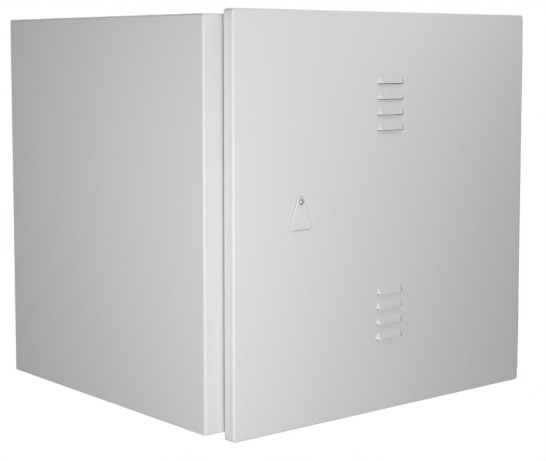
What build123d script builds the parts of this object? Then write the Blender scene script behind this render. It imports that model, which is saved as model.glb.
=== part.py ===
from build123d import *
import math
import os

os.makedirs("parts", exist_ok=True)

# Wall-hung outdoor cabinet of folded sheet steel with one overlapping door.
# Origin: centre of the four wall fixing holes, on the back face.
# +X is right seen from the front, +Y goes back to the wall, +Z is up.

# Cabinet body
cab_w = 600
cab_d = 480
cab_h = 530
sheet = 1.5
fold = 3
open_w = 502
open_h = 480
rim_reach = 10
back_flange = 25
side_lip = 18
fix_x = 500
fix_z = 430
fix_hole_r = 5
doubler = 50
doubler_sheet = 3

# Door
door_w = 544
door_over_top = 6.5
door_under_base = 10
door_depth = 18.5
door_gap = 4.5
door_sheet = 2
door_corner = 4.5
gasket_wide = 11
gasket_gap = 0.3
stiffener_x = 218
stiffener_half = 225
stiffener_deep = 14

# Pressed louvres, four above and four below mid height
louvre_w = 51
louvre_top_w = 43.5
louvre_rise = 10
louvre_out = 4.5
louvre_end = 6.2
louvre_edge_r = 2
louvre_sheet = 1.2
louvre_slant = 1.3
louvre_pitch = 21.1
louvre_from_mid = 111.8
louvre_count = 4
guard_w = 100
guard_h = 116
guard_deep = 8
guard_sheet = 1
guard_slots = 9
guard_slot_pitch = 9
guard_stud_x = 43
guard_stud_z = 51

# Lock, key cover and three-point bolts
lock_x = -162
lock_z = 0
rivet_z = 24.6
rod_bar = 4
teeth = 16
module = 1.5
backlash = 0.2
slide_gap = 0.3
bolt_head = 16
plug_r = 7
lock_hole_r = 9
square = 7
journal_r = 3.4
case_w = 52
case_h = 80
case_wall = 2
cover_sheet = 1.5
lock_stud_x = 17
lock_stud_reach = 7
lock_foot = 3
corner_post = 3.4
corner_inset = 3.5
guide_z = 203
guide_half = 11
guide_sheet = 2
flap_w = 37
flap_h = 44.3
flap_top_r = 6.8
flap_corner = 4.5
flap_sheet = 2
flap_gap = 0.3
rivet_r = 2
rivet_head_r = 4.1
rivet_tail_r = 3.6

# Weld studs and nuts of the door
stud_r = 2.5
stud_hole_r = 2.7
stud_long = 10
nut_bore_r = 2.55
nut_wide = 8
nut_high = 4
door_earth_x = 180
door_earth_z = -205
door_earth_r = 3

# Hinges
hinge_z = 190
hinge_h = 70
knuckle_r = 5
hinge_pin_r = 2.5
hinge_out = 7.5
leaf = 4
leaf_inward = 3.5
leaf_outward = 11
turn_gap = 0.5

# Rails for 19 inch equipment, ten units high
rail_centres = 465.1
rail_unit = 44.45
rail_units = 10
rail_hole = 9.5
rail_front_y = -420
rail_back_y = -150
rail_sheet = 2
rail_edge = 7.5
rail_face = 24
rail_leg = 28
rail_bolt_in = 16
rail_bolt_r = 3
support_lip = 12
support_long = 410
support_clear = 45
support_slot = 90
support_z = 200
support_deep = 36

# Cable gland plate in the floor
gland_y = -130
gland_w = 290
gland_l = 150
entry_x = 70
entry_r = 15
bush_seat_r = 20
gland_sheet = 2
gland_lap = 15
gland_inset = 8
gland_screw_r = 2.45

# Earth stud on the floor
earth_x = -236
earth_y = -60
earth_r = 4
earth_high = 24

# Places worked out from the sizes above
front_y = -cab_d
side_x = cab_w / 2 - sheet
roof_z = cab_h / 2 - sheet
base_z = -cab_h / 2
floor_z = base_z + sheet
door_back_y = front_y - door_gap
door_front_y = door_back_y - door_depth
door_in_y = door_front_y + door_sheet
door_top_z = cab_h / 2 + door_over_top
door_low_z = base_z - door_under_base
door_h = door_top_z - door_low_z
door_mid_z = (door_top_z + door_low_z) / 2
frame_in_y = front_y + sheet
hinge_x = door_w / 2 + hinge_out
hinge_y = front_y - leaf - knuckle_r - turn_gap
pitch_r = module * teeth / 2
strike = 2
strike_long = 36
rod_y = frame_in_y + strike + slide_gap
bolt_y = rod_y + rod_bar + slide_gap
bolt_bar = rod_bar
addendum = 0.9 * module
dedendum = 1.25 * module
pressure = math.radians(20)
rack_tip = pitch_r - addendum
rack_root = pitch_r + dedendum
rack_back = rack_root + 4.5
rack_mid = (rack_tip + rack_back) / 2
rack_start = 23
case_back_y = bolt_y + bolt_bar + 3
rod_end_z = open_h / 2 - 5
bolt_end_x = -open_w / 2 + 6
rail_edge_x = rail_centres / 2 - rail_edge
rail_side_x = rail_edge_x + rail_face


def block(x, y, z):
    """A box between two x, two y and two z values."""
    middle = Pos((x[0] + x[1]) / 2, (y[0] + y[1]) / 2, (z[0] + z[1]) / 2)
    return middle * Box(x[1] - x[0], y[1] - y[0], z[1] - z[0])


def rod_along_y(radius, y0, y1, x=0, z=0):
    """A round bar along Y."""
    return Pos(x, (y0 + y1) / 2, z) * Rot(90, 0, 0) * Cylinder(radius, y1 - y0)


def drill_z(radius, x, y, z0, z1):
    """A round bar along Z, also used to cut holes."""
    return Pos(x, y, (z0 + z1) / 2) * Cylinder(radius, z1 - z0)


def drill_x(radius, x0, x1, y, z):
    """A round bar along X."""
    return Pos((x0 + x1) / 2, y, z) * Rot(0, 90, 0) * Cylinder(radius, x1 - x0)


def plate_y(width, height, radius, y0, y1, x=0, z=0):
    """A plate that faces the front, with round corners."""
    shape = Plane.XZ * RectangleRounded(width, height, radius)
    return Pos(x, y1, z) * extrude(shape, y1 - y0)


def bent(points, thick, side, plane, length, radius=fold):
    """A folded strip: a bent line in a plane, thickened to one side and drawn out."""
    line = FilletPolyline(*points, radius=radius)
    face = make_face(offset(line, amount=thick, side=side, closed=True))
    return extrude(plane * face, length)


def group(shapes):
    """Separate solids kept together in one file."""
    return Compound(children=[s.solid() for s in shapes])


# Body sheet metal
def body_wrapper():
    """Roof and two sides folded from one sheet, with the front flanges."""
    outside = Pos(0, front_y / 2, 0) * Box(cab_w, cab_d, cab_h)
    inside = block((-side_x, side_x), (frame_in_y, 10), (base_z - 10, roof_z))
    solids = []
    for shape, radius in ((outside, fold), (inside, fold - sheet)):
        upright = shape.edges().filter_by(Axis.Z).group_by(Axis.Y)[0]
        roof = shape.faces().sort_by(Axis.Z)[-1].edges()
        folds = upright + roof.sort_by(Axis.Y)[:-1]
        solids.append(fillet(folds, radius))
    doorway = block(
        (-open_w / 2, open_w / 2), (front_y - 1, frame_in_y + 1), (base_z - 1, open_h / 2)
    )
    return solids[0] - solids[1] - doorway


def floor_panel():
    """Floor tray with its front flange, side flanges and gland opening."""
    front = bent(
        [(0, base_z), (front_y, base_z), (front_y, -open_h / 2)],
        sheet, Side.RIGHT, Plane.YZ.offset(-open_w / 2), open_w,
    )
    tray = front
    for hand in (-1, 1):
        start = hand * (open_w / 2 - 1)
        line = [(start, base_z), (hand * side_x, base_z), (hand * side_x, floor_z + side_lip)]
        side = Side.LEFT if hand > 0 else Side.RIGHT
        edge = bent(line, sheet, side, Plane.XZ, -frame_in_y - back_flange - fold)
        tray += Pos(0, -back_flange, 0) * edge
        tray += block(
            sorted((start, hand * (side_x - fold))),
            (-back_flange, 0), (base_z, floor_z),
        )
    opening = block(
        (-gland_w / 2 + gland_lap, gland_w / 2 - gland_lap),
        (gland_y - gland_l / 2 + gland_lap, gland_y + gland_l / 2 - gland_lap),
        (base_z - 1, floor_z + 1),
    )
    opening = fillet(opening.edges().filter_by(Axis.Z), 8)
    tray -= opening
    for x, y in gland_screw_places():
        tray -= drill_z(gland_screw_r + 0.05, x, y, base_z - 1, floor_z + 1)
    return tray


def rear_panel():
    """Back pan, its flanges turned forward inside the roof, sides and floor."""
    low, high = floor_z, roof_z
    outside = block((-side_x, side_x), (-back_flange, 0), (low, high))
    inside = block(
        (-side_x + sheet, side_x - sheet), (-back_flange - 1, -sheet), (low + sheet, high - sheet)
    )
    pan = []
    for shape, radius in ((outside, fold), (inside, fold - sheet)):
        corners = shape.edges().filter_by(Axis.Y)
        shape = fillet(corners, radius)
        pan.append(fillet(shape.faces().sort_by(Axis.Y)[-1].edges(), radius - 0.01))
    panel = pan[0] - pan[1]
    for x, z in fixing_places():
        panel -= rod_along_y(fix_hole_r, -10, 10, x, z)
    return panel


def fixing_places():
    """Centres of the four wall fixings."""
    return [(i * fix_x / 2, j * fix_z / 2) for i in (-1, 1) for j in (-1, 1)]


def fixing_doublers():
    """Square plates that spread the load of the wall bolts."""
    plates = []
    for x, z in fixing_places():
        plate = plate_y(doubler, doubler, 4, -sheet - doubler_sheet, -sheet, x, z)
        plates.append(plate - rod_along_y(fix_hole_r, -10, 10, x, z))
    return group(plates)


def seal_rim():
    """Upstand round the doorway that meets the door's gasket."""
    y0 = front_y - rim_reach
    inner_w, inner_h = open_w - 2 * sheet, open_h - 2 * sheet
    rim = plate_y(open_w, open_h, fold, y0, frame_in_y)
    return rim - plate_y(inner_w, inner_h, fold - sheet, y0 - 1, frame_in_y + 1)


def strike_plates():
    """Wear plates behind the frame where the three bolts bear."""
    depth = (frame_in_y, frame_in_y + strike)
    side_z = lock_z - rack_mid
    edge = open_h / 2 + 3
    half = strike_long / 2
    plates = [block((-open_w / 2 - 28, -open_w / 2 - 3), depth, (side_z - half, side_z + half))]
    for hand in (1, -1):
        z = sorted((hand * edge, hand * (edge + 18)))
        plates.append(block((rod_x(hand) - half, rod_x(hand) + half), depth, z))
    return group(plates)


# Cable entry
def gland_screw_places():
    """Screws round the edge of the gland plate."""
    x, y = gland_w / 2 - gland_inset, gland_l / 2 - gland_inset
    return [(i * x, gland_y + j * y) for i in (-1, 0, 1) for j in (-1, 1)]


def gland_plate():
    """Removable plate over the floor opening, with two cable holes."""
    top = floor_z + gland_sheet
    plate = Pos(0, gland_y, floor_z) * extrude(RectangleRounded(gland_w, gland_l, 6), gland_sheet)
    for x in (-entry_x, entry_x):
        plate -= drill_z(bush_seat_r, x, gland_y, floor_z - 1, top + 1)
    for x, y in gland_screw_places():
        plate -= drill_z(gland_screw_r + 0.25, x, y, floor_z - 1, top + 1)
    return plate


def gland_screws():
    """Pan head screws that hold the gland plate down."""
    screws = []
    top = floor_z + gland_sheet
    for x, y in gland_screw_places():
        head = drill_z(4.8, x, y, top, top + 3)
        head = fillet(head.edges().sort_by(Axis.Z)[-1], 1.2)
        slot = block((x - 3.5, x + 3.5), (y - 0.6, y + 0.6), (top + 1.8, top + 4))
        screws.append(head + drill_z(gland_screw_r, x, y, top - 9, top + 1) - slot)
    return group(screws)


def cable_grommet(x):
    """Rubber bush that lines a cable hole."""
    neck = bush_seat_r - 0.05
    outline = [
        (entry_r, -4), (24, -4), (24, 0), (neck, 0), (neck, gland_sheet), (25, gland_sheet),
        (25, 5), (entry_r, 7),
    ]
    section = make_face(Polyline(*outline, close=True))
    return Pos(x, gland_y, floor_z) * revolve(Plane.XZ * section, Axis.Z)


# Equipment rails
def rail(hand, y):
    """Upright of folded L section with square holes at the 19 inch spacing."""
    half = rail_unit * rail_units / 2 + 4
    outer = hand * rail_side_x
    back = 1 if y < -cab_d / 2 else -1
    line = [(hand * rail_edge_x, y), (outer, y), (outer, y + back * rail_leg)]
    side = Side.LEFT if hand * back > 0 else Side.RIGHT
    post = bent(line, rail_sheet, side, Plane.XY.offset(-half), 2 * half)
    cutters = []
    for unit in range(rail_units):
        for step in (6.35, 22.225, 38.1):
            z = (unit - rail_units / 2) * rail_unit + step
            cutters.append(Pos(hand * rail_centres / 2, y, z) * Box(rail_hole, 10, rail_hole))
    for z in (-support_z, support_z):
        cutters.append(drill_x(rail_bolt_r + 0.2, outer - 5, outer + 5, rail_bolt_y(y), z))
    return post - cutters


def rail_bolt_y(y):
    """Depth of the bolts that hold a rail."""
    return y + (rail_bolt_in if y < -cab_d / 2 else -rail_bolt_in)


def rail_support(hand, z):
    """Hat channel on the side wall, slotted so that the rails can be set in depth."""
    x, wall = hand * (rail_side_x + rail_sheet), hand * side_x
    half = support_deep / 2
    lip = half + support_lip
    line = [
        (wall, z - lip), (wall, z - half), (x, z - half), (x, z + half), (wall, z + half), (wall, z + lip),
    ]
    side = Side.LEFT if hand > 0 else Side.RIGHT
    hat = Pos(0, -support_clear, 0) * bent(line, rail_sheet, side, Plane.XZ, support_long)
    for y, towards_middle in ((rail_front_y, 20), (rail_back_y, -20)):
        slot = extrude(Plane.YZ * SlotOverall(support_slot, 2 * rail_bolt_r + 0.6), 12, both=True)
        hat -= Pos(x, rail_bolt_y(y) + towards_middle, z) * slot
    return hat


def rail_bolt_places():
    """Hand, depth and height of each rail bolt."""
    depths = (rail_bolt_y(rail_front_y), rail_bolt_y(rail_back_y))
    return [(i, y, j * support_z) for i in (-1, 1) for y in depths for j in (-1, 1)]


def rail_bolts():
    """Hexagon head bolts through the rails and their supports."""
    x = rail_side_x - rail_sheet
    bolts = []
    for hand, y, z in rail_bolt_places():
        head = extrude(Plane.YZ * RegularPolygon(5, 6, major_radius=False), -4 * hand)
        shank = drill_x(rail_bolt_r, *sorted((hand * (x - 2), hand * (rail_side_x + 12))), y, z)
        bolts.append(Pos(hand * x, y, z) * head + shank)
    return group(bolts)


def rail_nuts():
    """Nuts behind the supports."""
    x = rail_side_x + rail_sheet
    nuts = []
    for hand, y, z in rail_bolt_places():
        flat = RegularPolygon(5, 6, major_radius=False) - Circle(rail_bolt_r + 0.05)
        nuts.append(Pos(hand * x, y, z) * extrude(Plane.YZ * flat, 5 * hand))
    return group(nuts)


# Earth points
def earth_stud():
    """Threaded stud on the floor for the earth conductor."""
    stud = drill_z(earth_r, earth_x, earth_y, floor_z, floor_z + earth_high)
    stud = chamfer(stud.edges().sort_by(Axis.Z)[-1], 0.8)
    return stud + drill_z(7, earth_x, earth_y, floor_z, floor_z + 2)


def earth_washer():
    """Plain washer of the earth stud."""
    ring = extrude(Circle(2 * earth_r) - Circle(earth_r + 0.2), 1.6)
    return Pos(earth_x, earth_y, floor_z + 2) * ring


def earth_nut():
    """Nut of the earth stud."""
    nut = extrude(RegularPolygon(6.5, 6, major_radius=False) - Circle(earth_r + 0.05), 6.5)
    return Pos(earth_x, earth_y, floor_z + 3.6) * nut


# Door sheet metal
def louvre(z, inset, deep):
    """Wedge of one louvre: closed at the top and ends, open along the bottom."""
    half, top = louvre_w / 2 - inset, louvre_top_w / 2 - inset
    lip = louvre_w / 2 - louvre_end - inset
    low = z - (1 if inset else 0)
    high = z + louvre_rise - inset
    out = door_front_y - louvre_out + louvre_slant * inset
    corners = [
        (-half, deep, low), (half, deep, low), (top, deep, high), (-top, deep, high),
        (-half, door_front_y, low), (half, door_front_y, low),
        (top, door_front_y, high), (-top, door_front_y, high),
        (-lip, out, low), (lip, out, low),
    ]
    wedge = ConvexPolyhedron(corners)
    ends = [e for e in wedge.edges() if (e @ 0).Z != (e @ 1).Z and (e @ 0).Y != (e @ 1).Y]
    return fillet(ends, louvre_edge_r - inset / 2)


def louvre_places():
    """Height of the open edge of each louvre."""
    steps = [louvre_from_mid + i * louvre_pitch for i in range(louvre_count)]
    return steps + [-s for s in steps]


def door_panel():
    """Door pan with four folded returns, pressed louvres and the lock hole."""
    skin = plate_y(door_w, door_h, door_corner, door_front_y, door_back_y, 0, door_mid_z)
    skin = fillet(skin.faces().sort_by(Axis.Y)[0].edges(), fold)
    hollow = plate_y(
        door_w - 2 * door_sheet, door_h - 2 * door_sheet, door_corner - door_sheet,
        door_in_y, door_back_y + 1, 0, door_mid_z,
    )
    hollow = fillet(hollow.faces().sort_by(Axis.Y)[0].edges(), fold - door_sheet)
    pan = skin - hollow
    for z in louvre_places():
        pan += louvre(z, 0, door_in_y)
    for z in louvre_places():
        pan -= louvre(z, louvre_sheet, door_in_y + 1)
    pan -= rod_along_y(lock_hole_r, door_front_y - 1, door_in_y + 1, lock_x, lock_z)
    pan -= rod_along_y(rivet_r + 0.05, door_front_y - 1, door_in_y + 1, lock_x, rivet_z)
    return pan


def door_stiffener(hand):
    """Upright hat channel welded inside the door."""
    x, top = hand * stiffener_x, door_in_y + stiffener_deep
    line = [
        (x - 24, door_in_y), (x - 12, door_in_y), (x - 12, top),
        (x + 12, top), (x + 12, door_in_y), (x + 24, door_in_y),
    ]
    foot = Plane.XY.offset(-stiffener_half)
    return bent(line, sheet, Side.LEFT, foot, 2 * stiffener_half, radius=2)


def door_gasket():
    """Foam rubber seal in one ring, its back edges rounded, facing the rim."""
    y1 = front_y - rim_reach - gasket_gap
    ring_w, ring_h = open_w + gasket_wide - sheet, open_h + gasket_wide - sheet
    hole_w, hole_h = ring_w - 2 * gasket_wide, ring_h - 2 * gasket_wide
    ring = plate_y(ring_w, ring_h, 15, door_in_y, y1) - plate_y(hole_w, hole_h, 5, door_in_y - 1, y1 + 1)
    return fillet(ring.faces().sort_by(Axis.Y)[-1].edges(), 4)


def guard_centres():
    """Middle of each group of louvres."""
    span = (louvre_count - 1) * louvre_pitch
    high = louvre_from_mid + (span + louvre_rise) / 2
    return {"upper": high, "lower": -louvre_from_mid - (span - louvre_rise) / 2}


def vent_guard(z):
    """Slotted box behind the louvres that stops a rod being pushed in."""
    top = door_in_y + guard_deep
    wide, high = guard_w - 28, guard_h - 24
    plate = plate_y(guard_w, guard_h, 4, door_in_y, door_in_y + guard_sheet, 0, z)
    box = plate_y(wide, high, 3, door_in_y, top, 0, z)
    hollow = plate_y(
        wide - 2 * guard_sheet, high - 2 * guard_sheet, 2, door_in_y - 1, top - guard_sheet, 0, z
    )
    guard = plate + box - hollow
    for i in range(guard_slots):
        step = (i - (guard_slots - 1) / 2) * guard_slot_pitch
        guard -= Pos(0, top + 2, z + step) * extrude(Plane.XZ * SlotOverall(54, 3), 5)
    for x, dz in stud_square(guard_stud_x, guard_stud_z):
        guard -= rod_along_y(stud_hole_r, door_in_y - 1, door_in_y + 2, x, z + dz)
    return guard


def stud_square(x, z):
    """Four places at the corners of a rectangle."""
    return [(i * x, j * z) for i in (-1, 1) for j in (-1, 1)]


# Weld studs and nuts on the door
def guard_studs():
    """Places of the studs that hold the vent guards."""
    corners = stud_square(guard_stud_x, guard_stud_z)
    return [(x, z + dz) for z in guard_centres().values() for x, dz in corners]


def lock_studs():
    """Places of the studs that hold the lock case."""
    corners = stud_square(lock_stud_x, case_h / 2 + lock_stud_reach)
    return [(lock_x + x, lock_z + z) for x, z in corners]


def rod_x(hand):
    """Centre of the upper rod, on the left, or of the lower rod, on the right."""
    return lock_x - hand * rack_mid


def guide_studs():
    """Places of the studs that hold the rod guides."""
    return [(rod_x(hand) + x, hand * guide_z) for hand in (1, -1) for x in (-guide_half, guide_half)]


def door_studs():
    """Studs welded to the inside of the door."""
    studs = []
    for x, z in guard_studs() + lock_studs() + guide_studs():
        studs.append(rod_along_y(stud_r, door_in_y, door_in_y + stud_long, x, z))
    studs.append(rod_along_y(door_earth_r, door_in_y, door_in_y + 18, door_earth_x, door_earth_z))
    return group(studs)


def hex_nut(x, z, y0, across=nut_wide, bore=nut_bore_r, high=nut_high):
    """Hexagon nut with its axis along Y."""
    flat = RegularPolygon(across / 2, 6, major_radius=False) - Circle(bore)
    return Pos(x, y0 + high, z) * extrude(Plane.XZ * flat, high)


def guard_nuts():
    """Nuts on the vent guard studs."""
    return group([hex_nut(x, z, door_in_y + guard_sheet) for x, z in guard_studs()])


def lock_nuts():
    """Nuts on the lock studs."""
    return group([hex_nut(x, z, door_in_y + lock_foot) for x, z in lock_studs()])


def guide_nuts():
    """Nuts on the rod guide studs."""
    return group([hex_nut(x, z, door_in_y + guide_sheet) for x, z in guide_studs()])


def door_earth_nut():
    """Nut on the door's earth stud."""
    return hex_nut(door_earth_x, door_earth_z, door_in_y, 10, door_earth_r + 0.05, 5)


# Hinges
def knuckle(z0, z1, bore, quarter):
    """One barrel of a hinge, with the web that joins it to its leaf."""
    barrel = drill_z(knuckle_r, hinge_x, hinge_y, z0, z1)
    reach = knuckle_r + turn_gap
    x = sorted((hinge_x, hinge_x + quarter * (knuckle_r if quarter > 0 else reach)))
    y = sorted((hinge_y, hinge_y + quarter * (reach if quarter > 0 else knuckle_r)))
    return barrel + block(x, y, (z0, z1)), drill_z(bore, hinge_x, hinge_y, z0 - 1, z1 + 1)


def hinge_body_leaf(z):
    """Fixed half: a plate on the front of the body with the middle barrel."""
    third = hinge_h / 6
    plate = block(
        (hinge_x - leaf_inward, hinge_x + leaf_outward),
        (front_y - leaf, front_y),
        (z - hinge_h / 2, z + hinge_h / 2),
    )
    plate = fillet(plate.edges().filter_by(Axis.Y), 2)
    barrel, bore = knuckle(z - third + 0.3, z + third - 0.3, hinge_pin_r + 0.02, 1)
    return plate + barrel - bore


def hinge_door_leaf(z):
    """Moving half: a plate on the door's return with the two outer barrels."""
    third = hinge_h / 6
    plate = block(
        (door_w / 2, hinge_x - knuckle_r - turn_gap),
        (door_front_y + 4, door_back_y - 1),
        (z - hinge_h / 2, z + hinge_h / 2),
    )
    for z0, z1 in ((z - hinge_h / 2, z - third), (z + third, z + hinge_h / 2)):
        barrel, bore = knuckle(z0, z1, hinge_pin_r + 0.05, -1)
        plate = plate + barrel - bore
    return plate


def hinge_pin(z):
    """Captive pin, headed at both ends."""
    half = hinge_h / 2 + 0.3
    pin = drill_z(hinge_pin_r, hinge_x, hinge_y, z - half, z + half)
    for low, high in ((z - half - 1.8, z - half), (z + half, z + half + 1.8)):
        head = drill_z(3.6, hinge_x, hinge_y, low, high)
        outer = head.edges().sort_by(Axis.Z)[-1 if low > z else 0]
        pin += fillet(outer, 1.2)
    return pin


# Lock
def drive_pinion():
    """Spur pinion with involute flanks that drives all three racks."""
    base_r = pitch_r * math.cos(pressure)
    root_r = pitch_r - dedendum
    tip_r = pitch_r + addendum
    half_tooth = (math.pi * module / 2 - backlash) / (2 * pitch_r) + involute(pitch_r, base_r)
    radii = [base_r + (tip_r - base_r) * i / 4 for i in range(5)]
    flank = [(root_r, half_tooth)] + [(r, half_tooth - involute(r, base_r)) for r in radii]
    outline = []
    for tooth in range(teeth):
        middle = 2 * math.pi * tooth / teeth
        turn = [(r, middle - a) for r, a in flank] + [(r, middle + a) for r, a in reversed(flank)]
        outline += [(r * math.cos(a), r * math.sin(a)) for r, a in turn]
    face = make_face(Polyline(*outline, close=True)) - Rectangle(square + 0.06, square + 0.06)
    back = bolt_y + bolt_bar + 0.2
    return Pos(lock_x, back, lock_z) * extrude(Plane.XZ * face, back - rod_y + 0.2)


def involute(radius, base_r):
    """Angle of the involute at a radius."""
    return math.sqrt((radius / base_r) ** 2 - 1) - math.acos(base_r / radius)


def rack_bar(long_end):
    """Flat bar along +X with a rack on its lower edge that suits the pinion."""
    length = long_end + rack_start
    bar = Pos(length / 2 - rack_start, rack_mid) * Rectangle(length, rack_back - rack_tip)
    slope = math.tan(pressure)
    half_gap = math.pi * module / 4 + backlash / 2
    wide = half_gap + (addendum + 0.2) * slope
    narrow = half_gap - dedendum * slope
    mouth = rack_tip - 0.2
    corners = [(-wide, mouth), (wide, mouth), (narrow, rack_root), (-narrow, rack_root)]
    for i in range(-5, 3):
        bar -= Pos(math.pi * module * i, 0) * Polygon(*corners, align=None)
    return bar


def rod(turn):
    """Rod that slides up or down behind the frame, with a ramp on its front at the tip."""
    bar = extrude(Plane.XZ * (Rot(0, 0, turn) * rack_bar(rod_end_z)), -rod_bar)
    end = bar.faces().sort_by(Axis.Z)[-1 if turn > 0 else 0]
    ramp = end.edges().filter_by(Axis.X).sort_by(Axis.Y)[0]
    return Pos(lock_x, rod_y, lock_z) * chamfer(ramp, 2)


def lock_bolt():
    """Sideways bolt: a rack under the pinion and a thick head that passes behind the frame."""
    bar = extrude(Plane.XZ * (Rot(0, 0, 180) * rack_bar(rack_back + 10)), -bolt_bar)
    bar = Pos(lock_x, bolt_y, lock_z) * bar
    head = block(
        (bolt_end_x, lock_x - rack_back - 1.3), (rod_y, bolt_y + bolt_bar),
        (lock_z - rack_mid - bolt_head / 2, lock_z - rack_mid + bolt_head / 2),
    )
    ramp = head.faces().sort_by(Axis.X)[0].edges().filter_by(Axis.Z).sort_by(Axis.Y)[0]
    return bar + chamfer(ramp, 3)


def lock_plug():
    """Turned key plug with a square that drives the pinion and a journal behind it."""
    back = bolt_y + bolt_bar
    plug = rod_along_y(plug_r, door_front_y + 0.6, door_in_y + 4, lock_x, lock_z)
    plug = chamfer(plug.edges().sort_by(Axis.Y)[0], 0.4)
    plug += rod_along_y(plug_r + 2, door_in_y + lock_foot + 0.1, door_in_y + 5, lock_x, lock_z)
    plug += rod_along_y(5.5, door_in_y + 4, rod_y - 0.6, lock_x, lock_z)
    half = square / 2
    plug += block(
        (lock_x - half, lock_x + half), (rod_y - 0.7, back + 1.5), (lock_z - half, lock_z + half)
    )
    plug += rod_along_y(journal_r, back + 1, case_back_y + cover_sheet, lock_x, lock_z)
    key_hole = block(
        (lock_x - 0.9, lock_x + 0.9), (door_front_y, door_front_y + 8), (lock_z - 4.5, lock_z + 4.5)
    )
    return plug - key_hole


def lock_case():
    """Cast lock case on the door, with a collar round the plug and slots for the three bolts."""
    foot_y = door_in_y + lock_foot
    inner_w, inner_h = case_w - 2 * case_wall, case_h - 2 * case_wall
    base = plate_y(case_w, case_h + 4 * lock_stud_reach, 4, door_in_y, foot_y, lock_x, lock_z)
    body = plate_y(case_w, case_h, 3, door_in_y, case_back_y, lock_x, lock_z)
    body = body - plate_y(inner_w, inner_h, 1, foot_y, case_back_y + 1, lock_x, lock_z)
    case = base + body
    for x, z in cover_screw_places():
        case += block(
            (x - corner_post, x + corner_post), (door_in_y + 2, case_back_y),
            (z - corner_post, z + corner_post),
        )
    case += rod_along_y(lock_hole_r - 0.1, door_front_y + 0.5, door_in_y + 1, lock_x, lock_z)
    case -= rod_along_y(plug_r + 0.05, door_front_y - 1, foot_y + 1, lock_x, lock_z)
    for x, z in lock_studs():
        case -= rod_along_y(stud_hole_r, door_in_y - 1, foot_y + 1, x, z)
    case -= rod_along_y(rivet_tail_r + 0.6, door_in_y - 1, foot_y + 1, lock_x, rivet_z)
    for x, z in cover_screw_places():
        case -= rod_along_y(1.55, case_back_y - 10, case_back_y + 1, x, z)
    for hand in (1, -1):
        wall = sorted((hand * (case_h / 2 - 3), hand * (case_h / 2 + 1)))
        case -= rod_slot(hand, (lock_z + wall[0], lock_z + wall[1]))
    head = bolt_head / 2 + slide_gap
    case -= block(
        (lock_x - case_w / 2 - 1, lock_x - case_w / 2 + 3),
        (rod_y - slide_gap, bolt_y + bolt_bar + slide_gap),
        (lock_z - rack_mid - head, lock_z - rack_mid + head),
    )
    return case


def rod_slot(hand, z):
    """The hole that a rod slides through, with its sliding gap."""
    half = (rack_back - rack_tip) / 2 + slide_gap
    middle = rod_x(hand)
    return block((middle - half, middle + half), (rod_y - slide_gap, rod_y + rod_bar + slide_gap), z)


def cover_screw_places():
    """Screws at the corners of the lock case."""
    corners = stud_square(case_w / 2 - corner_inset, case_h / 2 - corner_inset)
    return [(lock_x + x, lock_z + z) for x, z in corners]


def lock_cover():
    """Back plate of the lock case, which carries the plug's journal."""
    cover = plate_y(case_w, case_h, 3, case_back_y, case_back_y + cover_sheet, lock_x, lock_z)
    cover -= rod_along_y(journal_r + 0.05, case_back_y - 1, case_back_y + 5, lock_x, lock_z)
    for x, z in cover_screw_places():
        cover -= rod_along_y(1.7, case_back_y - 1, case_back_y + 5, x, z)
    return cover


def cover_screws():
    """Small screws of the lock cover."""
    top = case_back_y + cover_sheet
    screws = []
    for x, z in cover_screw_places():
        head = rod_along_y(2.75, top, top + 1.8, x, z)
        head = fillet(head.edges().sort_by(Axis.Y)[-1], 0.8)
        screws.append(head + rod_along_y(1.5, top - 9, top + 0.5, x, z))
    return group(screws)


def rod_guide(hand):
    """Folded bracket near the end of a rod, with the slot that the rod slides through."""
    y1 = rod_y + rod_bar + 6
    far, near = guide_z + 11, guide_z - 10
    line = [(door_in_y, hand * far), (door_in_y, hand * near), (y1, hand * near)]
    side = Side.LEFT if hand > 0 else Side.RIGHT
    half = guide_half + 5
    guide = bent(line, guide_sheet, side, Plane.YZ.offset(rod_x(hand) - half), 2 * half)
    guide -= rod_slot(hand, sorted((hand * (near - 3), hand * (near + 4))))
    for x, z in guide_studs():
        guide -= rod_along_y(stud_hole_r, door_in_y - 1, door_in_y + 3, x, z)
    return guide


def key_cover():
    """Flap that hangs from its rivet over the key hole."""
    foot = Circle(flap_corner)
    span, drop = flap_w / 2 - flap_corner, flap_h - flap_top_r - flap_corner
    shape = Circle(flap_top_r) + Pos(span, -drop) * foot + Pos(-span, -drop) * foot
    shape = make_hull(shape.edges()) - Circle(rivet_r + 0.06)
    back = door_front_y - flap_gap
    flap = Pos(lock_x, back, rivet_z) * extrude(Plane.XZ * shape, flap_sheet)
    rim = flap.faces().sort_by(Axis.Y)[0].outer_wire().edges()
    return fillet(rim, 0.5)


def key_cover_rivet():
    """Round head rivet through the flap and the door."""
    face = door_front_y - flap_gap - flap_sheet - 0.2
    head = rod_along_y(rivet_head_r, face - 2.4, face, lock_x, rivet_z)
    head = fillet(head.edges().sort_by(Axis.Y)[0], 2.2)
    tail = rod_along_y(rivet_tail_r, door_in_y, door_in_y + 1.5, lock_x, rivet_z)
    tail = fillet(tail.edges().sort_by(Axis.Y)[-1], 1.2)
    return head + tail + rod_along_y(rivet_r, face - 0.5, door_in_y + 0.5, lock_x, rivet_z)


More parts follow.
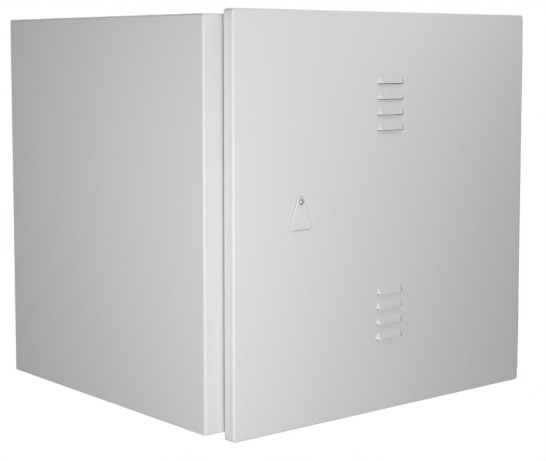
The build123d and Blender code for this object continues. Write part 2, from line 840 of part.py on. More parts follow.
def build():
    """Every piece of the cabinet under its own name."""
    vents = guard_centres()
    pieces = {
        "body_wrapper": body_wrapper(),
        "floor_panel": floor_panel(),
        "rear_panel": rear_panel(),
        "fixing_doublers": fixing_doublers(),
        "seal_rim": seal_rim(),
        "strike_plates": strike_plates(),
        "gland_plate": gland_plate(),
        "gland_screws": gland_screws(),
        "cable_grommet_left": cable_grommet(-entry_x),
        "cable_grommet_right": cable_grommet(entry_x),
        "rail_bolts": rail_bolts(),
        "rail_nuts": rail_nuts(),
        "body_earth_stud": earth_stud(),
        "body_earth_washer": earth_washer(),
        "body_earth_nut": earth_nut(),
        "door_panel": door_panel(),
        "door_gasket": door_gasket(),
        "vent_guard_upper": vent_guard(vents["upper"]),
        "vent_guard_lower": vent_guard(vents["lower"]),
        "door_studs": door_studs(),
        "guard_nuts": guard_nuts(),
        "lock_nuts": lock_nuts(),
        "guide_nuts": guide_nuts(),
        "door_earth_nut": door_earth_nut(),
        "lock_case": lock_case(),
        "lock_cover": lock_cover(),
        "lock_cover_screws": cover_screws(),
        "lock_plug": lock_plug(),
        "drive_pinion": drive_pinion(),
        "lock_bolt": lock_bolt(),
        "upper_rod": rod(90),
        "lower_rod": rod(-90),
        "rod_guide_upper": rod_guide(1),
        "rod_guide_lower": rod_guide(-1),
        "key_cover": key_cover(),
        "key_cover_rivet": key_cover_rivet(),
    }
    for side, hand in (("left", -1), ("right", 1)):
        pieces["door_stiffener_" + side] = door_stiffener(hand)
        pieces["rail_front_" + side] = rail(hand, rail_front_y)
        pieces["rail_rear_" + side] = rail(hand, rail_back_y)
        for level, z in (("upper", support_z), ("lower", -support_z)):
            pieces["rail_support_" + level + "_" + side] = rail_support(hand, z)
    for level, z in (("upper", hinge_z), ("lower", -hinge_z)):
        pieces["hinge_body_leaf_" + level] = hinge_body_leaf(z)
        pieces["hinge_door_leaf_" + level] = hinge_door_leaf(z)
        pieces["hinge_pin_" + level] = hinge_pin(z)
    return pieces


for name, shape in build().items():
    solids = shape.solids()
    piece = solids[0] if len(solids) == 1 else Compound(children=list(solids))
    export_step(piece, f"parts/{name}.step")
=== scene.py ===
import math

import bmesh
import bpy
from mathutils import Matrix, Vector


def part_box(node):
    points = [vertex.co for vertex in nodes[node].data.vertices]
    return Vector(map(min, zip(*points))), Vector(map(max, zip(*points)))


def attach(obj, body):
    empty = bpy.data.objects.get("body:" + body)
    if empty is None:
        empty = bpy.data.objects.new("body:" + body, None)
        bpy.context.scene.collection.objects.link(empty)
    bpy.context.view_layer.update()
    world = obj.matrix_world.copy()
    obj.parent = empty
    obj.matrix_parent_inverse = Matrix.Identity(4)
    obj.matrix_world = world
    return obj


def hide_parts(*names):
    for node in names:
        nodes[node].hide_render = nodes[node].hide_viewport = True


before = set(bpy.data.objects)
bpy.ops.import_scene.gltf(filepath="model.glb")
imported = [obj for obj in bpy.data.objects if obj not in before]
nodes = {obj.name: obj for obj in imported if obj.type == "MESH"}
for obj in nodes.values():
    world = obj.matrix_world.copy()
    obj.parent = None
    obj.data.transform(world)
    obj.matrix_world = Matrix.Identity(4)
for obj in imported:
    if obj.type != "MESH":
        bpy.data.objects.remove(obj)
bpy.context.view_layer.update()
print("frame loaded:", len(nodes), "nodes")


# small tools for shader trees

def newTree(name):
    material = bpy.data.materials.new(name)
    material.use_nodes = True
    material.node_tree.nodes.clear()
    return material, material.node_tree


def addNode(tree, kind, **settings):
    node = tree.nodes.new(kind)
    for key, value in settings.items():
        setattr(node, key, value)
    return node


def setInput(node, key, value):
    node.inputs[key].default_value = value


def link(tree, source, target):
    tree.links.new(source, target)


def feed(tree, target, value):
    # a socket is linked, anything else is typed in
    if isinstance(value, bpy.types.NodeSocket):
        link(tree, value, target)
    else:
        target.default_value = value


def maths(tree, operation, *values, clamp=False):
    node = addNode(tree, "ShaderNodeMath", operation=operation, use_clamp=clamp)
    for socket, value in zip(node.inputs, values):
        feed(tree, socket, value)
    return node.outputs[0]


def vectorMaths(tree, operation, *values):
    node = addNode(tree, "ShaderNodeVectorMath", operation=operation)
    for socket, value in zip(node.inputs, values):
        feed(tree, socket, value)
    return node.outputs["Value" if operation in ("LENGTH", "DOT_PRODUCT") else "Vector"]


def axesOf(tree, vector):
    node = addNode(tree, "ShaderNodeSeparateXYZ")
    link(tree, vector, node.inputs[0])
    return node.outputs


def stretch(tree, value, span, target=(0.0, 1.0)):
    # takes a span of values, from low to high, to the target's two ends
    node = addNode(tree, "ShaderNodeMapRange", clamp=True)
    feed(tree, node.inputs["Value"], value)
    for key, end in zip(("From Min", "From Max", "To Min", "To Max"), (*span, *target)):
        feed(tree, node.inputs[key], end)
    return node.outputs["Result"]


def mixColour(tree, factor, a, b, blendType="MIX"):
    node = addNode(tree, "ShaderNodeMix", data_type="RGBA", blend_type=blendType)
    feed(tree, node.inputs["Factor"], factor)
    feed(tree, node.inputs[6], a)  # the Mix node's colour sockets are 6 and 7
    feed(tree, node.inputs[7], b)
    return node.outputs[2]


def shaded(tree, colour, shade):
    return mixColour(tree, 1.0, colour, shade, "MULTIPLY")


def addShare(tree, under, mask, amount):
    # under, and the given amount more where the mask is 1
    return maths(tree, "MULTIPLY_ADD", mask, amount, under)


def objectPlace(tree):
    return addNode(tree, "ShaderNodeTexCoord").outputs["Object"]


def objectNormal(tree):
    # taken on the piece itself, so that marks stay where they are when it moves
    return addNode(tree, "ShaderNodeTexCoord").outputs["Normal"]


def noise(tree, where, scale, detail, roughness):
    # the dictionaries below give a noise as scale, detail and roughness, or as the last two
    node = addNode(tree, "ShaderNodeTexNoise")
    feed(tree, node.inputs["Vector"], where)
    feed(tree, node.inputs["Scale"], scale)
    setInput(node, "Detail", detail)
    setInput(node, "Roughness", roughness)
    return node.outputs[0]


def shaderGroup(name, inputs, output):
    tree = bpy.data.node_groups.new(name, "ShaderNodeTree")
    for label, kind, value in inputs:
        socket = tree.interface.new_socket(label, in_out="INPUT", socket_type="NodeSocket" + kind)
        socket.default_value = value
    tree.interface.new_socket(output, in_out="OUTPUT", socket_type="NodeSocketFloat")
    start = addNode(tree, "NodeGroupInput")
    end = addNode(tree, "NodeGroupOutput")
    return tree, start.outputs, end.inputs[output]


def place(tree, group, values):
    # every group here has one output
    node = addNode(tree, "ShaderNodeGroup", node_tree=group)
    for label, value in values.items():
        feed(tree, node.inputs[label], value)
    return node.outputs[0]


def finish(tree, colour, roughness, normal, fixed):
    shader = addNode(tree, "ShaderNodeBsdfPrincipled")
    feed(tree, shader.inputs["Base Color"], colour)
    feed(tree, shader.inputs["Roughness"], roughness)
    link(tree, normal, shader.inputs["Normal"])
    for label, value in fixed.items():
        setInput(shader, label, value)
    output = addNode(tree, "ShaderNodeOutputMaterial")
    link(tree, shader.outputs[0], output.inputs["Surface"])


def bumpFrom(tree, height, strength, distance, under=None):
    node = addNode(tree, "ShaderNodeBump")
    feed(tree, node.inputs["Height"], height)
    setInput(node, "Strength", strength)
    setInput(node, "Distance", distance)
    if under is not None:
        link(tree, under, node.inputs["Normal"])
    return node.outputs[0]


def grey(value, cool=0.0):
    # a screen level 0 to 255 as a linear colour, a little cooler or warmer
    channels = []
    for offset in (-cool, 0.0, cool * 0.5):
        level = (value + offset) / 255
        channels.append(level / 12.92 if level <= 0.04045 else ((level + 0.055) / 1.055) ** 2.4)
    return (*channels, 1.0)


noiseSpan = (0.3, 0.7)  # where most values of a noise lie


# small tools for the cabinet's pieces

def startingWith(*heads):
    return [name for name in nodes if name.startswith(heads)]


def boxOf(name):
    # middle and half size
    low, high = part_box(name)
    return (low + high) / 2, (high - low) / 2


def dressed(names, material):
    for name in names:
        mesh = nodes[name].data
        mesh.materials.clear()
        mesh.materials.append(material)


def ringTurns(count):
    return [math.tau * i / count for i in range(count)]


def skinRings(shape, rings):
    # walls from each ring of points to the next, and a face over both ends
    count = len(rings[0])
    for near, far in zip(rings, rings[1:]):
        for i in range(count):
            j = (i + 1) % count
            shape.faces.new((near[i], near[j], far[j], far[i]))
    shape.faces.new(list(reversed(rings[0])))
    shape.faces.new(rings[-1])


def pieceFrom(shape, name, material):
    mesh = bpy.data.meshes.new(name)
    shape.to_mesh(mesh)
    shape.free()
    mesh.materials.append(material)
    piece = bpy.data.objects.new(name, mesh)
    bpy.context.scene.collection.objects.link(piece)
    return piece


# slow unevenness of a sprayed or dipped surface, drawn out upright

mottleNoise = {"broad": (4.0, 0.55), "fine": (3.0, 0.6), "fineTimes": 16.0, "broadShare": 0.6}


def makeMottle():
    tree, given, result = shaderGroup(
        "slowMottle",
        [("Scale", "Float", 14.0), ("Stretch", "Vector", (1, 1, 0.35)), ("Amount", "Float", 0.03)],
        "Shade",
    )
    mapped = vectorMaths(tree, "MULTIPLY", objectPlace(tree), given["Stretch"])
    fineScale = maths(tree, "MULTIPLY", given["Scale"], mottleNoise["fineTimes"])
    broad = noise(tree, mapped, given["Scale"], *mottleNoise["broad"])
    fine = noise(tree, mapped, fineScale, *mottleNoise["fine"])
    fineShare = maths(tree, "MULTIPLY", fine, 1 - mottleNoise["broadShare"])
    both = addShare(tree, fineShare, broad, mottleNoise["broadShare"])
    swing = maths(tree, "MULTIPLY", maths(tree, "SUBTRACT", both, 0.5), given["Amount"])
    link(tree, addShare(tree, 1.0, swing, 2.0), result)
    return tree


# orange peel of a baked powder: soft cells with a fine grain over them

peelNoise = {"cells": (1.5, 0.4), "grain": (1.0, 0.5)}


def makePeel():
    tree, given, result = shaderGroup(
        "orangePeel",
        [("Cell Scale", "Float", 380.0), ("Grain Scale", "Float", 1700.0),
         ("Grain Share", "Float", 0.3)],
        "Height",
    )
    where = objectPlace(tree)
    cells = noise(tree, where, given["Cell Scale"], *peelNoise["cells"])
    grain = noise(tree, where, given["Grain Scale"], *peelNoise["grain"])
    soft = maths(tree, "MULTIPLY", cells, maths(tree, "SUBTRACT", 1.0, given["Grain Share"]))
    link(tree, addShare(tree, soft, grain, given["Grain Share"]), result)
    return tree


# wear that runs along the twelve edges of a box and breaks up in patches

edgePatches = {"noise": (160.0, 3.0, 0.6), "span": (0.42, 0.62)}


def makeEdgeBand():
    tree, given, result = shaderGroup(
        "edgeBand",
        [("Middle", "Vector", (0, 0, 0)), ("Half", "Vector", (1, 1, 1)), ("Width", "Float", 0.004),
         ("Break Up", "Float", 0.5)],
        "Mask",
    )
    where = objectPlace(tree)
    away = vectorMaths(tree, "ABSOLUTE", vectorMaths(tree, "SUBTRACT", where, given["Middle"]))
    depth = axesOf(tree, vectorMaths(tree, "SUBTRACT", given["Half"], away))
    x, y, z = (maths(tree, "ABSOLUTE", depth[i]) for i in range(3))
    low = maths(tree, "MINIMUM", x, y)
    high = maths(tree, "MAXIMUM", x, y)
    second = maths(tree, "MAXIMUM", low, maths(tree, "MINIMUM", high, z))  # 0 along an edge
    near = stretch(tree, second, (0.0, given["Width"]), (1.0, 0.0))
    patches = stretch(tree, noise(tree, where, *edgePatches["noise"]), edgePatches["span"])
    keep = maths(tree, "SUBTRACT", 1.0, given["Break Up"])
    spread = addShare(tree, keep, patches, given["Break Up"])
    link(tree, maths(tree, "MULTIPLY", near, spread, clamp=True), result)
    return tree


# thin dust that settles on what faces up, and a little everywhere

dustFall = {
    "noise": (5.0, 0.65),
    "patchSpan": (0.35, 0.75),
    "patches": (0.2, 1.0),
    "upSpan": (0.1, 1.0),
    "facing": (0.12, 1.0),
}


def makeDust():
    tree, given, result = shaderGroup(
        "settledDust", [("Amount", "Float", 0.2), ("Scale", "Float", 60.0)], "Mask"
    )
    up = axesOf(tree, objectNormal(tree))["Z"]
    facing = stretch(tree, up, dustFall["upSpan"], dustFall["facing"])
    clouds = noise(tree, objectPlace(tree), given["Scale"], *dustFall["noise"])
    patches = stretch(tree, clouds, dustFall["patchSpan"], dustFall["patches"])
    settled = maths(tree, "MULTIPLY", facing, patches)
    link(tree, maths(tree, "MULTIPLY", settled, given["Amount"], clamp=True), result)
    return tree


# rolling or drawing lines along one axis of the metal

lineNoise = (4.0, 0.6)


def makeBrush():
    tree, given, result = shaderGroup(
        "drawnLines", [("Stretch", "Vector", (1, 1, 0.02)), ("Scale", "Float", 900.0)], "Lines"
    )
    mapped = vectorMaths(tree, "MULTIPLY", objectPlace(tree), given["Stretch"])
    link(tree, noise(tree, mapped, given["Scale"], *lineNoise), result)
    return tree


# ridges of a rolled thread: a triangle wave of 0 to a half along the axis that is given

def makeThread():
    tree, given, result = shaderGroup(
        "threadRidges",
        [("Along", "Vector", (0, 1, 0)), ("Pitch", "Float", 0.0008), ("Start", "Float", -9.0)],
        "Height",
    )
    parts = axesOf(tree, vectorMaths(tree, "MULTIPLY", objectPlace(tree), given["Along"]))
    far = maths(tree, "ADD", maths(tree, "ADD", parts["X"], parts["Y"]), parts["Z"])
    ridge = maths(tree, "PINGPONG", far, maths(tree, "MULTIPLY", given["Pitch"], 0.5))
    height = maths(tree, "DIVIDE", ridge, given["Pitch"])
    above = maths(tree, "GREATER_THAN", far, given["Start"])
    link(tree, maths(tree, "MULTIPLY", height, above), result)
    return tree


# painted shade, laid on what faces towards Facing, for all that stands in front of a plane

paintedShadeTurn = (0.15, 0.7)  # no painted shade and full painted shade, by the dot product of a face's normal and Facing


def makePaintedShadeMask():
    tree, given, result = shaderGroup(
        "paintedShadeMask",
        [("Plane", "Float", 0.0), ("Facing", "Vector", (0, 0, -1)), ("Amount", "Float", 0.0)],
        "Mask",
    )
    turned = vectorMaths(tree, "DOT_PRODUCT", objectNormal(tree), given["Facing"])
    proud = maths(tree, "LESS_THAN", axesOf(tree, objectPlace(tree))["Y"], given["Plane"])
    shown = maths(tree, "MULTIPLY", stretch(tree, turned, paintedShadeTurn), proud)
    link(tree, maths(tree, "MULTIPLY", shown, given["Amount"]), result)
    return tree


slowMottle = makeMottle()
orangePeel = makePeel()
edgeBand = makeEdgeBand()
settledDust = makeDust()
drawnLines = makeBrush()
threadRidges = makeThread()
paintedShadeMask = makePaintedShadeMask()
print("shared surface effects built")


# light grey powder coat of the cabinet, the door, the key cover and the hinge leaves

coat = {
    "colour": grey(214, 1.5),
    "worn": grey(196, 0.5),
    "dust": grey(198, -3.0),
    # painted shade: the dark colour laid on where the painted shade mask is
    "paintedShade": grey(96, -2.0),
    "mottle": {"Scale": 9.0, "Amount": 0.02},
    "bandWidth": 0.0035,
    "roughness": (0.41, 0.52),
    "dustRough": 0.25,
    "paintedShadeRough": 0.35,
    "peel": {"Cell Scale": 380.0, "Grain Scale": 1700.0, "Grain Share": 0.3},
    "peelStrength": 0.55,
    "peelHeight": 0.00009,
    "fixed": {"IOR": 1.48, "Specular IOR Level": 0.3},
}
spotWeld = {
    "fromMiddle": 0.218,
    "flange": 0.018,
    "pitch": 0.06,
    "radius": 0.0028,
    "flatShare": 0.7,
    "depth": 0.0004,
}
# painted shade on the right ends and lower faces of the door's louvres, in front of the door's face
louvrePaintedShade = {
    "Plane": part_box("key_cover")[1].y - 0.0002,  # just in front of the door's face
    "Facing": (2.0, 0.0, -0.3),
    "Amount": 0.6,
}
weathered = {"wear": 0.35, "dust": 0.12}
coated = {
    "bodyCoat": {
        **weathered, "box": "body_wrapper", "pieces": ["body_wrapper", "floor_panel", "rear_panel"],
    },
    "rimCoat": {"wear": 0.55, "dust": 0.1, "box": "seal_rim", "pieces": ["seal_rim"]},
    "doorCoat": {**weathered, "box": "door_panel", "paintedShadeSet": louvrePaintedShade, "pieces": ["door_panel"]},
    "stiffenerCoat": {
        **weathered, "box": "door_panel", "welds": spotWeld, "pieces": startingWith("door_stiffener"),
    },
}
for leaf in startingWith("hinge_body_leaf", "hinge_door_leaf"):
    coated[leaf + "_coat"] = {"wear": 0.5, "dust": 0.12, "box": leaf, "pieces": [leaf]}


def weldDents(tree, marks):
    # resistance weld marks down the two flanges of each door stiffener
    parts = axesOf(tree, objectPlace(tree))
    fromRib = maths(tree, "SUBTRACT", maths(tree, "ABSOLUTE", parts["X"]), marks["fromMiddle"])
    across = maths(tree, "SUBTRACT", maths(tree, "ABSOLUTE", fromRib), marks["flange"])
    along = maths(tree, "PINGPONG", parts["Z"], marks["pitch"] / 2)
    squares = (maths(tree, "POWER", side, 2.0) for side in (across, along))
    far = maths(tree, "SQRT", maths(tree, "ADD", *squares))
    height = stretch(tree, far, (marks["radius"] * marks["flatShare"], marks["radius"]))
    return bumpFrom(tree, height, 1.0, marks["depth"])


def powderCoat(name, look):
    material, tree = newTree(name)
    base = shaded(tree, coat["colour"], place(tree, slowMottle, coat["mottle"]))
    middle, half = boxOf(look["box"])
    band = place(tree, edgeBand, {"Middle": middle, "Half": half, "Width": coat["bandWidth"]})
    worn = mixColour(tree, maths(tree, "MULTIPLY", band, look["wear"]), base, coat["worn"])
    powder = place(tree, settledDust, {"Amount": look["dust"]})
    colour = mixColour(tree, powder, worn, coat["dust"])
    skin = place(tree, orangePeel, coat["peel"])
    rough = stretch(tree, skin, noiseSpan, coat["roughness"])
    rough = addShare(tree, rough, powder, coat["dustRough"])
    # painted shade: the coat is drawn darker, and rougher, on faces turned away from the lamps
    if "paintedShadeSet" in look:
        paintedShade = place(tree, paintedShadeMask, look["paintedShadeSet"])
        colour = mixColour(tree, paintedShade, colour, coat["paintedShade"])
        rough = addShare(tree, rough, paintedShade, coat["paintedShadeRough"])
    dents = weldDents(tree, look["welds"]) if "welds" in look else None
    normal = bumpFrom(tree, skin, coat["peelStrength"], coat["peelHeight"], dents)
    finish(tree, colour, rough, normal, coat["fixed"])
    return material


for name, look in coated.items():
    dressed(look["pieces"], powderCoat(name, look))


# zinc plate on the rails, brackets, guards and fasteners

zinc = {
    "bright": grey(186, 1.5),
    "dull": grey(160, 0.5),
    "blotches": {"Scale": 22.0, "Stretch": (1, 1, 1), "Amount": 0.5},
    "blotchSpan": (0.85, 1.15),
    "straw": (0.50, 0.47, 0.36, 1.0),
    "strawNoise": (35.0, 3.0, 0.6),
    "strawSpan": (0.5, 0.8),
    "strawMost": 0.28,
    "dust": {"Amount": 0.18, "Scale": 90.0},
    "dustRough": 0.3,
    "lineStrength": 0.35,
    "lineHeight": 0.00005,
    "threadSpan": (0.0, 0.5),
    "threadShade": (0.55, 1.0),
    "threadHeight": 0.00035,
}
rolled = {"scale": 700.0, "roughness": (0.27, 0.43)}
barrelled = {"scale": 500.0, "roughness": (0.23, 0.39)}
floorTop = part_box("body_earth_washer")[0].z  # the washer lies on the cabinet's floor
zincPlated = {
    "uprightZinc": {
        **rolled, "lines": (1, 1, 0.03), "pieces": startingWith("rail_front", "rail_rear"),
    },
    "deepZinc": {**rolled, "lines": (1, 0.03, 1), "pieces": startingWith("rail_support")},
    "smallZinc": {
        **barrelled,
        "lines": (1, 1, 1),
        "pieces": [
            "fixing_doublers", "strike_plates", "gland_plate", "gland_screws", "rail_bolts",
            "rail_nuts", "body_earth_washer", "body_earth_nut", "vent_guard_upper",
            "vent_guard_lower", "guard_nuts", "lock_nuts", "guide_nuts", "door_earth_nut",
            "lock_cover_screws", "rod_guide_upper", "rod_guide_lower",
        ],
    },
    "doorThread": {
        **rolled,
        "lines": (1, 1, 1),
        "pieces": ["door_studs"],
        "thread": {"Along": (0, 1, 0), "Pitch": 0.0008},
    },
    "earthThread": {
        **rolled,
        "lines": (1, 1, 1),
        "pieces": ["body_earth_stud"],
        "thread": {"Along": (0, 0, 1), "Pitch": 0.00125, "Start": floorTop},
    },
}


def zincPlate(name, look):
    material, tree = newTree(name)
    lines = place(tree, drawnLines, {"Stretch": look["lines"], "Scale": look["scale"]})
    tone = stretch(tree, place(tree, slowMottle, zinc["blotches"]), zinc["blotchSpan"])
    metal = mixColour(tree, tone, zinc["dull"], zinc["bright"])
    clouds = noise(tree, objectPlace(tree), *zinc["strawNoise"])
    stain = stretch(tree, clouds, zinc["strawSpan"], (0.0, zinc["strawMost"]))
    metal = mixColour(tree, stain, metal, zinc["straw"])
    powder = place(tree, settledDust, zinc["dust"])
    colour = mixColour(tree, powder, metal, coat["dust"])
    rough = stretch(tree, lines, noiseSpan, look["roughness"])
    rough = addShare(tree, rough, powder, zinc["dustRough"])
    normal = bumpFrom(tree, lines, zinc["lineStrength"], zinc["lineHeight"])
    if "thread" in look:
        ridges = place(tree, threadRidges, look["thread"])
        # painted shade: the thread's grooves are drawn darker than its crests
        colour = shaded(tree, colour, stretch(tree, ridges, zinc["threadSpan"], zinc["threadShade"]))
        normal = bumpFrom(tree, ridges, 1.0, zinc["threadHeight"], normal)
    finish(tree, colour, rough, normal, {"Metallic": 1.0})
    return material


for name, look in zincPlated.items():
    dressed(look["pieces"], zincPlate(name, look))


# bare steel of the rods, the bolt, the pinion, the hinge pins and the rivet

steel = {
    "lineSpan": (0.25, 0.75),
    "lineShade": (0.9, 1.08),
    "lineStrength": 0.4,
    "lineHeight": 0.00005,
    "oil": (0.16, 0.14, 0.11, 1.0),
    "oilNoise": (70.0, 4.0, 0.6),
    "oilSpan": (0.45, 0.7),
}
drawn = {"colour": grey(150), "roughness": (0.27, 0.41), "scale": 900.0, "oil": 0.25}
bareSteel = {
    "drawnUpright": {**drawn, "lines": (1, 1, 0.02), "pieces": ["upper_rod", "lower_rod"]},
    "drawnAcross": {**drawn, "lines": (0.02, 1, 1), "pieces": ["lock_bolt"]},
    "millCut": {
        "colour": grey(140), "roughness": (0.24, 0.38), "scale": 1300.0, "oil": 0.4,
        "lines": (1, 0.03, 1), "pieces": ["drive_pinion"],
    },
    "pinSteel": {
        "colour": grey(165), "roughness": (0.22, 0.36), "scale": 1500.0, "oil": 0.15,
        "lines": (0.03, 0.03, 1), "pieces": startingWith("hinge_pin"),
    },
    "rivetSteel": {
        "colour": grey(160), "roughness": (0.28, 0.42), "scale": 800.0, "oil": 0.2,
        "lines": (1, 1, 1), "pieces": ["key_cover_rivet"],
    },
}


def plainSteel(name, look):
    material, tree = newTree(name)
    lines = place(tree, drawnLines, {"Stretch": look["lines"], "Scale": look["scale"]})
    metal = shaded(tree, look["colour"], stretch(tree, lines, steel["lineSpan"], steel["lineShade"]))
    clouds = noise(tree, objectPlace(tree), *steel["oilNoise"])
    film = stretch(tree, clouds, steel["oilSpan"], (0.0, look["oil"]))
    oiled = mixColour(tree, film, metal, steel["oil"])
    rough = stretch(tree, lines, noiseSpan, look["roughness"])
    normal = bumpFrom(tree, lines, steel["lineStrength"], steel["lineHeight"])
    finish(tree, oiled, rough, normal, {"Metallic": 1.0})
    return material


for name, look in bareSteel.items():
    dressed(look["pieces"], plainSteel(name, look))


# cast zinc of the lock case

casting = {
    "colour": grey(150, 0.5),
    "flowNoise": (40.0, 3.0, 0.55),
    "flowSpan": (0.35, 0.65),
    "flowShade": (0.86, 1.06),
    "grainNoise": (1100.0, 3.0, 0.65),
    "grainStrength": 0.5,
    "grainHeight": 0.00012,
    "roughness": (0.42, 0.58),
}


def castMetal(name):
    material, tree = newTree(name)
    where = objectPlace(tree)
    grain = noise(tree, where, *casting["grainNoise"])
    flow = noise(tree, where, *casting["flowNoise"])
    colour = shaded(
        tree, casting["colour"], stretch(tree, flow, casting["flowSpan"], casting["flowShade"])
    )
    rough = stretch(tree, grain, noiseSpan, casting["roughness"])
    normal = bumpFrom(tree, grain, casting["grainStrength"], casting["grainHeight"])
    finish(tree, colour, rough, normal, {"Metallic": 1.0})
    return material


dressed(["lock_case", "lock_cover"], castMetal("castZinc"))


# key plug, with fine turning rings round its own axis

plug = {
    "colour": grey(205, 0.5),
    "ringsPerMetre": 3300.0,
    "ringShade": (0.93, 1.03),
    "ringStrength": 0.3,
    "ringHeight": 0.00002,
    "roughness": (0.14, 0.26),
}


def turnedPlug(name, centre):
    material, tree = newTree(name)
    away = vectorMaths(tree, "SUBTRACT", objectPlace(tree), centre)
    far = vectorMaths(tree, "LENGTH", vectorMaths(tree, "MULTIPLY", away, (1, 0, 1)))
    rings = maths(tree, "SINE", maths(tree, "MULTIPLY", far, math.tau * plug["ringsPerMetre"]))
    colour = shaded(tree, plug["colour"], stretch(tree, rings, (-1.0, 1.0), plug["ringShade"]))
    rough = stretch(tree, rings, (-1.0, 1.0), plug["roughness"])
    normal = bumpFrom(tree, rings, plug["ringStrength"], plug["ringHeight"])
    finish(tree, colour, rough, normal, {"Metallic": 1.0})
    return material


dressed(["lock_plug"], turnedPlug("turnedPlug", boxOf("lock_plug")[0]))


# rubber of the door seal and the cable bushes

rubber = {
    "skin": (0.016, 0.016, 0.017, 1.0),
    "bloom": (0.045, 0.045, 0.047, 1.0),
    "bloomNoise": (50.0, 4.0, 0.6),
    "bloomSpan": (0.4, 0.75),
    "bloomMost": 0.25,
    "dust": {"Amount": 0.16, "Scale": 120.0},
    "pitSpan": (0.1, 0.6),
    "pitStrength": 0.5,
    "roughness": (0.62, 0.82),
    "fixed": {"Specular IOR Level": 0.35},
}
rubbers = {
    "foamSeal": {"pits": 1500.0, "pitHeight": 0.00012, "pieces": ["door_gasket"]},
    "mouldedBush": {"pits": 2600.0, "pitHeight": 0.00004, "pieces": startingWith("cable_grommet")},
}


def pittedRubber(name, look):
    material, tree = newTree(name)
    where = objectPlace(tree)
    cells = addNode(tree, "ShaderNodeTexVoronoi", feature="SMOOTH_F1")
    link(tree, where, cells.inputs["Vector"])
    setInput(cells, "Scale", look["pits"])
    pits = cells.outputs["Distance"]
    clouds = noise(tree, where, *rubber["bloomNoise"])
    bloom = stretch(tree, clouds, rubber["bloomSpan"], (0.0, rubber["bloomMost"]))
    skin = mixColour(tree, bloom, rubber["skin"], rubber["bloom"])
    powder = place(tree, settledDust, rubber["dust"])
    colour = mixColour(tree, powder, skin, coat["dust"])
    rough = stretch(tree, pits, rubber["pitSpan"], rubber["roughness"])
    normal = bumpFrom(tree, pits, rubber["pitStrength"], look["pitHeight"])
    finish(tree, colour, rough, normal, rubber["fixed"])
    return material


for name, look in rubbers.items():
    dressed(look["pieces"], pittedRubber(name, look))
print("finishes placed")


# the key cover as it is stamped: a thick flap whose front edge is drawn round

keyCover = {
    "topRadius": 0.0068,
    "cornerRadius": 0.0045,
    "edgeRound": 0.0017,
    "arcSteps": 14,
    "edgeSteps": 6,
    "coat": {
        "wear": 0.15,
        "dust": 0.05,
        "box": "key_cover",
        # painted shade on the cover's lower and right rim, where its shadow falls
        "paintedShadeSet": {"Plane": 0.0, "Facing": (0.7, 0.0, -1.0), "Amount": 0.6},
    },
}


def coverOutline(pivot, half, shrink, y):
    # three round corners and the straight runs between them, drawn in by shrink
    top, corner = keyCover["topRadius"], keyCover["cornerRadius"]
    span = half.x - corner
    drop = 2 * half.z - top - corner
    lean = math.atan2(-drop, span) + math.acos((top - corner) / math.hypot(span, drop))
    arcs = (
        (0.0, 0.0, top, lean, math.pi - lean),
        (-span, -drop, corner, math.pi - lean, 1.5 * math.pi),
        (span, -drop, corner, 1.5 * math.pi, math.tau + lean),
    )
    points = []
    for x, z, radius, start, end in arcs:
        reach = radius - shrink
        for i in range(keyCover["arcSteps"] + 1):
            turn = start + (end - start) * i / keyCover["arcSteps"]
            side, rise = x + reach * math.cos(turn), z + reach * math.sin(turn)
            points.append((pivot.x + side, y, pivot.z + rise))
    return points


def makeKeyCover():
    middle, half = boxOf("key_cover")
    pivot = Vector((middle.x, 0.0, middle.z + half.z - keyCover["topRadius"]))
    back, front = middle.y + half.y, middle.y - half.y
    edge = keyCover["edgeRound"]
    levels = [(0.0, back)]
    for i in range(keyCover["edgeSteps"] + 1):
        turn = math.pi / 2 * i / keyCover["edgeSteps"]
        levels.append((edge * (1 - math.cos(turn)), front + edge * (1 - math.sin(turn))))
    cover = bmesh.new()
    rings = [[cover.verts.new(p) for p in coverOutline(pivot, half, *level)] for level in levels]
    skinRings(cover, rings)
    piece = pieceFrom(cover, "stampedKeyCover", powderCoat("coverCoat", keyCover["coat"]))
    for face in piece.data.polygons:
        face.use_smooth = len(face.vertices) == 4
    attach(piece, "key_cover")
    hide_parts("key_cover")


makeKeyCover()
print("key cover made")


# stitch welds that hold the hinge leaves to the front of the cabinet

weldBead = {
    "radius": 0.0014,
    "ripple": 0.00022,
    "ripplePitch": 0.0016,
    "stepsPerRipple": 6,
    "length": 0.018,
    "inset": 0.006,
    "taperRate": 4,
    "tipShare": 0.05,
    "sides": 10,
    "coat": {"wear": 0.0, "dust": 0.2, "box": "body_wrapper"},
}


def beadRings():
    # height over the bead's foot and radius, thin at both ends
    length, rate = weldBead["length"], weldBead["taperRate"]
    steps = int(length / weldBead["ripplePitch"] * weldBead["stepsPerRipple"])
    for i in range(steps + 1):
        share = i / steps
        taper = math.sqrt(min(1.0, rate * share, rate * (1 - share)))
        ripple = abs(math.sin(math.pi * share * length / weldBead["ripplePitch"]))
        full = weldBead["radius"] + weldBead["ripple"] * ripple
        yield share * length, full * max(taper, weldBead["tipShare"])


def makeWeld(name, x, y, foot, material):
    bead = bmesh.new()
    rings = []
    turns = ringTurns(weldBead["sides"])
    for rise, reach in beadRings():
        spots = [(x + reach * math.cos(a), y + reach * math.sin(a)) for a in turns]
        rings.append([bead.verts.new((*spot, foot + rise)) for spot in spots])
    skinRings(bead, rings)
    piece = pieceFrom(bead, name, material)
    for face in piece.data.polygons:
        face.use_smooth = True
    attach(piece, "cabinet")


weldCoat = powderCoat("weldCoat", weldBead["coat"])
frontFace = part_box("body_wrapper")[0].y
for level in ("upper", "lower"):
    low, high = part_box("hinge_body_leaf_" + level)
    feet = {
        "low": low.z + weldBead["inset"],
        "high": high.z - weldBead["inset"] - weldBead["length"],
    }
    for end, foot in feet.items():
        makeWeld("hinge_weld_" + level + "_" + end, high.x, frontFace, foot, weldCoat)
print("hinge welds made")


# floor and backdrop

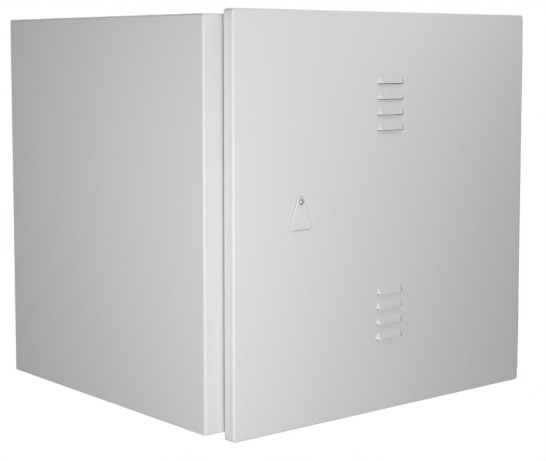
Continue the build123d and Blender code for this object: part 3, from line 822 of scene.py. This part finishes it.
ground = {
    "level": -1.3,
    "reach": 9.0,
    "sides": 64,
    "colour": (0.92, 0.92, 0.92, 1.0),
    "grainNoise": (3.0, 4.0, 0.5),
    "grainShade": (0.985, 1.0),
    "fade": (1.5, 2.7),
}


def seenAsWhite(tree):
    # the camera, mirrors and clear things see white where lamp light would be uneven
    path = addNode(tree, "ShaderNodeLightPath")
    seen = maths(tree, "ADD", path.outputs["Is Camera Ray"], path.outputs["Is Glossy Ray"])
    return maths(tree, "ADD", seen, path.outputs["Is Transmission Ray"], clamp=True)


def paleFloor():
    material, tree = newTree("paleFloor")
    paint = addNode(tree, "ShaderNodeBsdfDiffuse")
    grain = noise(tree, objectPlace(tree), *ground["grainNoise"])
    shade = stretch(tree, grain, noiseSpan, ground["grainShade"])
    link(tree, shaded(tree, ground["colour"], shade), paint.inputs["Color"])
    far = vectorMaths(tree, "LENGTH", addNode(tree, "ShaderNodeNewGeometry").outputs["Position"])
    edge = stretch(tree, far, ground["fade"])
    white = addNode(tree, "ShaderNodeEmission")
    mix = addNode(tree, "ShaderNodeMixShader")
    link(tree, maths(tree, "MULTIPLY", seenAsWhite(tree), edge), mix.inputs[0])
    link(tree, paint.outputs[0], mix.inputs[1])
    link(tree, white.outputs[0], mix.inputs[2])
    output = addNode(tree, "ShaderNodeOutputMaterial")
    link(tree, mix.outputs[0], output.inputs["Surface"])
    return material


def makeFloor():
    disc = bmesh.new()
    reach, level = ground["reach"], ground["level"]
    turns = ringTurns(ground["sides"])
    disc.faces.new([disc.verts.new((reach * math.cos(a), reach * math.sin(a), level)) for a in turns])
    floor = pieceFrom(disc, "studioFloor", paleFloor())


makeFloor()


# light

studio = {
    "ambient": 0.03,
    "airColour": (1.0, 0.995, 0.965, 1.0),
    "white": 1.0,
    "backdrop": (1.0, 1.0, 1.0, 1.0),
    "aim": (0, -0.25, 0),
}
lamps = {
    "frontLeft": {"at": (-0.72, -1.34, -0.05), "size": 0.75, "power": 10.35},
    "sideLeft": {"at": (-1.15, -0.36, 0.12), "size": 0.3, "power": 2.7},
    "topFront": {"at": (0.12, -0.89, 0.68), "size": 0.4, "power": 1.7},
    "rightFill": {"at": (1.5, -0.54, 0.3), "size": 0.4, "power": 1.9},
    "rightBack": {"at": (2.2, 1.5, 0.9), "size": 1.2, "power": 52.0},
    "overhead": {"at": (0.5, 0.5, 2.2), "size": 1.0, "power": 34.0},
}


def makeWorld():
    world = bpy.data.worlds.new("studioAir")
    bpy.context.scene.world = world
    world.use_nodes = True
    tree = world.node_tree
    tree.nodes.clear()
    mix = addNode(tree, "ShaderNodeMixShader")
    link(tree, seenAsWhite(tree), mix.inputs[0])
    for slot, colour, strength in ((1, "airColour", "ambient"), (2, "backdrop", "white")):
        shader = addNode(tree, "ShaderNodeBackground")
        setInput(shader, "Color", studio[colour])
        setInput(shader, "Strength", studio[strength])
        link(tree, shader.outputs[0], mix.inputs[slot])
    output = addNode(tree, "ShaderNodeOutputWorld")
    link(tree, mix.outputs[0], output.inputs["Surface"])


def makeLamps():
    for name, spec in lamps.items():
        data = bpy.data.lights.new(name, "AREA")
        data.shape = "DISK"
        data.size = spec["size"]
        data.energy = spec["power"]
        lamp = bpy.data.objects.new(name, data)
        lamp.location = spec["at"]
        aim = Vector(studio["aim"]) - lamp.location
        lamp.rotation_euler = aim.to_track_quat("-Z", "Y").to_euler()
        bpy.context.scene.collection.objects.link(lamp)


makeWorld()
makeLamps()
print("floor and lights placed")


# camera, where the photo was taken from

lens = {
    "at": (-1.3237, -1.8502, 0.2180),
    "yaw": -39.634,
    "down": 5.184,
    "focal": 91.27,
    "sensor": 36.0,
    "rise": -0.098,
}


def makeCamera():
    data = bpy.data.cameras.new("photoView")
    data.sensor_width = lens["sensor"]
    data.lens = lens["focal"]
    data.shift_y = lens["rise"]
    camera = bpy.data.objects.new("photoView", data)
    camera.location = lens["at"]
    camera.rotation_euler = (math.radians(90 - lens["down"]), 0, math.radians(lens["yaw"]))
    bpy.context.scene.collection.objects.link(camera)
    bpy.context.scene.camera = camera


makeCamera()
bpy.context.scene.view_settings.view_transform = "Standard"
